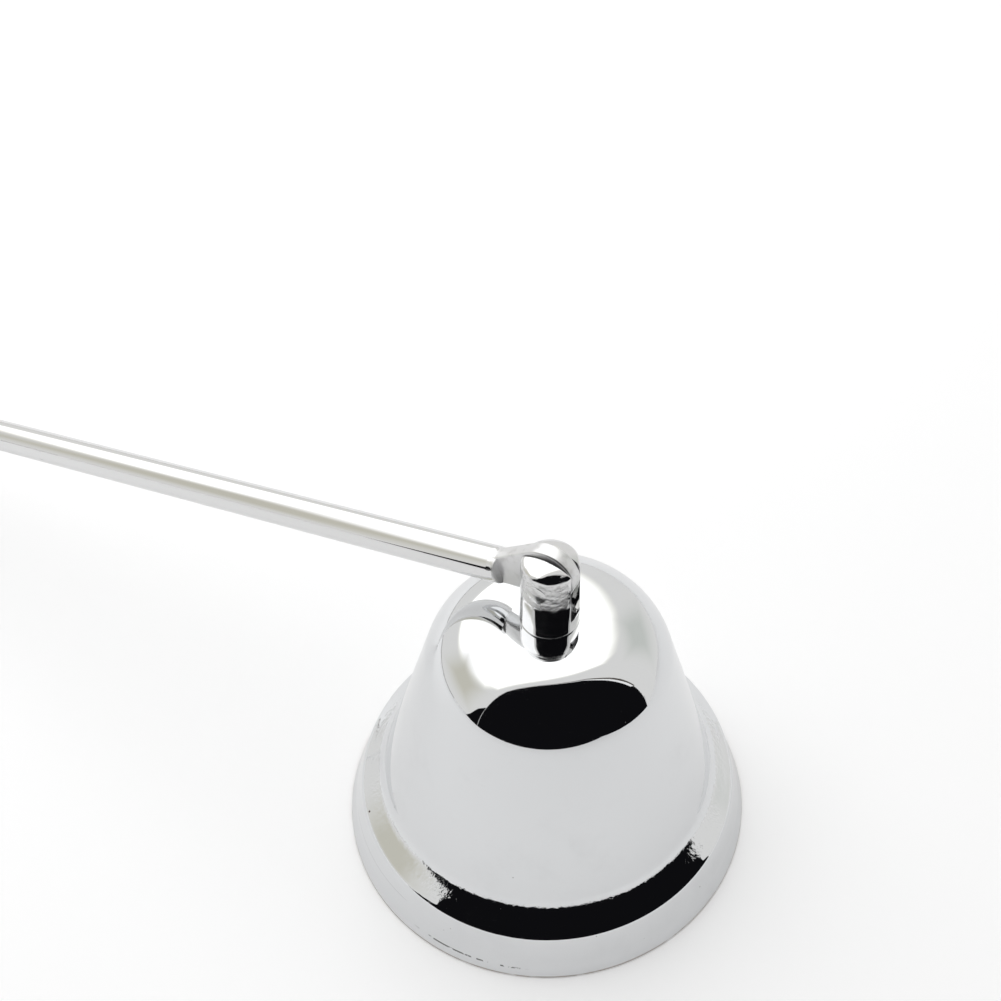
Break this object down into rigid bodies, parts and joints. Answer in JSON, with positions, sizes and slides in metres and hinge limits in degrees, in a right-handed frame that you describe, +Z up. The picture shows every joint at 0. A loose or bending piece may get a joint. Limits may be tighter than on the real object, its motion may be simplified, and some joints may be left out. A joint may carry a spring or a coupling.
{
  "type": "candle snuffer",
  "caption": "Chrome candle snuffer: a conical bell with a stepped collar at its mouth, and a long round handle hinged on a slotted post on top.",
  "frame": {"origin": "centre of the bell's open mouth, on the surface that the bell stands on", "axes": "+Z up the bell's axis to the post; the handle leaves towards -X and its tip rests on the surface; the hinge pin lies along Y"},
  "size_m": [0.1554, 0.038, 0.0361],
  "materials": {
    "bell": "polished chrome plate with fine scratches and a worn rim",
    "clevis_post": "polished chrome plate, rubbed along the slot",
    "backing_washer": "plain steel, darkened by soot",
    "hinge_pin": "plated pin ends, dressed nearly flush",
    "handle_rod": "polished chrome plate with lengthwise scratches"
  },
  "bodies": {
    "snuffer_bell": {"bell": "bell", "clevis_post": "clevis_post", "backing_washer": "backing_washer", "hinge_pin": "hinge_pin"},
    "handle": {"handle_rod": "handle_rod"}
  },
  "joints": [
    {"name": "handle_swing", "type": "hinge", "parent": "snuffer_bell", "child": "handle", "pos_m": [0, 0, 0.0331], "axis": [0, 1, 0], "range_deg": [-14, 224]}
  ]
}
